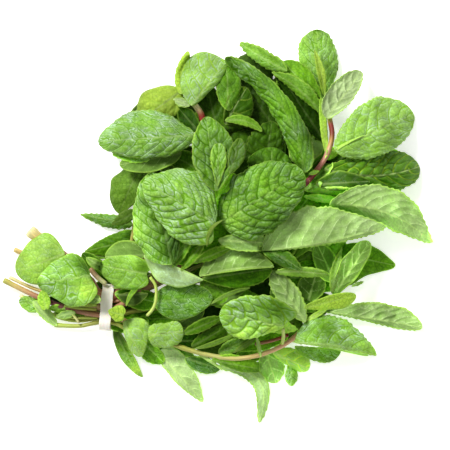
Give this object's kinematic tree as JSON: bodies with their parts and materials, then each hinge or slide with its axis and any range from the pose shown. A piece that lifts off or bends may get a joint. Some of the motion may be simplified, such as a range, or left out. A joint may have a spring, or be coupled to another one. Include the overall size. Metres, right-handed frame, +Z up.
{
  "type": "mint bunch",
  "caption": "Bunch of fresh mint lying on its side: stems gathered by a rubber band, cut ends at one end, a low mound of toothed, veined leaves at the other.",
  "frame": {"origin": "on the table, under the middle of the bunch's box", "axes": "+X along the length of the bunch, from the cut stem ends to the leaves; +Y across it; +Z up from the table"},
  "size_m": [0.2578, 0.238, 0.0535],
  "materials": {
    "leaf_green": "satin",
    "leaf_dark": "satin",
    "leaf_underside": "matte",
    "stem_skin": "satin",
    "band_rubber": "matte"
  },
  "bodies": {
    "root": {"arch": "leaf_green", "band_back": "leaf_underside", "band_front": "leaf_green", "band_low_pale": "leaf_underside", "crown_back": "leaf_dark", "crown_back_left": "leaf_green", "crown_left": "leaf_green", "crown_right": "leaf_green", "crown_up": "leaf_green", "left_olive": "leaf_dark", "left_shade": "leaf_dark", "left_spike": "leaf_green", "low_front": "leaf_green", "low_hang": "leaf_underside", "low_light": "leaf_underside", "low_long": "leaf_underside", "low_mid_pale": "leaf_underside", "low_shade": "leaf_dark", "low_square": "leaf_underside", "low_tail": "leaf_green", "low_veined": "leaf_underside", "mid_folded": "leaf_underside", "mid_oval": "leaf_dark", "mid_pale_long": "leaf_underside", "mid_serrated": "leaf_dark", "mid_striped": "leaf_dark", "right_big_pale": "leaf_underside", "right_dark": "leaf_dark", "right_inner": "leaf_underside", "right_long": "leaf_underside", "right_low_big": "leaf_green", "right_low_dark": "leaf_dark", "right_low_pale": "leaf_underside", "right_mid": "leaf_dark", "right_top": "leaf_green", "right_yellow": "leaf_green", "rubber_band": "band_rubber", "stalk_front": "stem_skin", "stalk_low": "stem_skin", "stem_brown": "stem_skin", "stem_crown": "stem_skin", "stem_edge": "stem_skin", "stem_low": "stem_skin", "stem_pale": "stem_skin", "stem_red": "stem_skin", "stem_right": "stem_skin", "stem_thick": "stem_skin", "stem_thin": "stem_skin", "stem_yellow": "stem_skin", "tail_left": "leaf_green", "tail_right": "leaf_green", "top_fan": "leaf_underside", "top_fishbone": "leaf_green", "top_left_yellow": "leaf_green", "top_mid": "leaf_green", "top_pale": "leaf_underside", "top_spike": "leaf_green", "top_upright": "leaf_green", "upper_left": "leaf_green", "upper_left_under": "leaf_underside"}
  },
  "joints": []
}
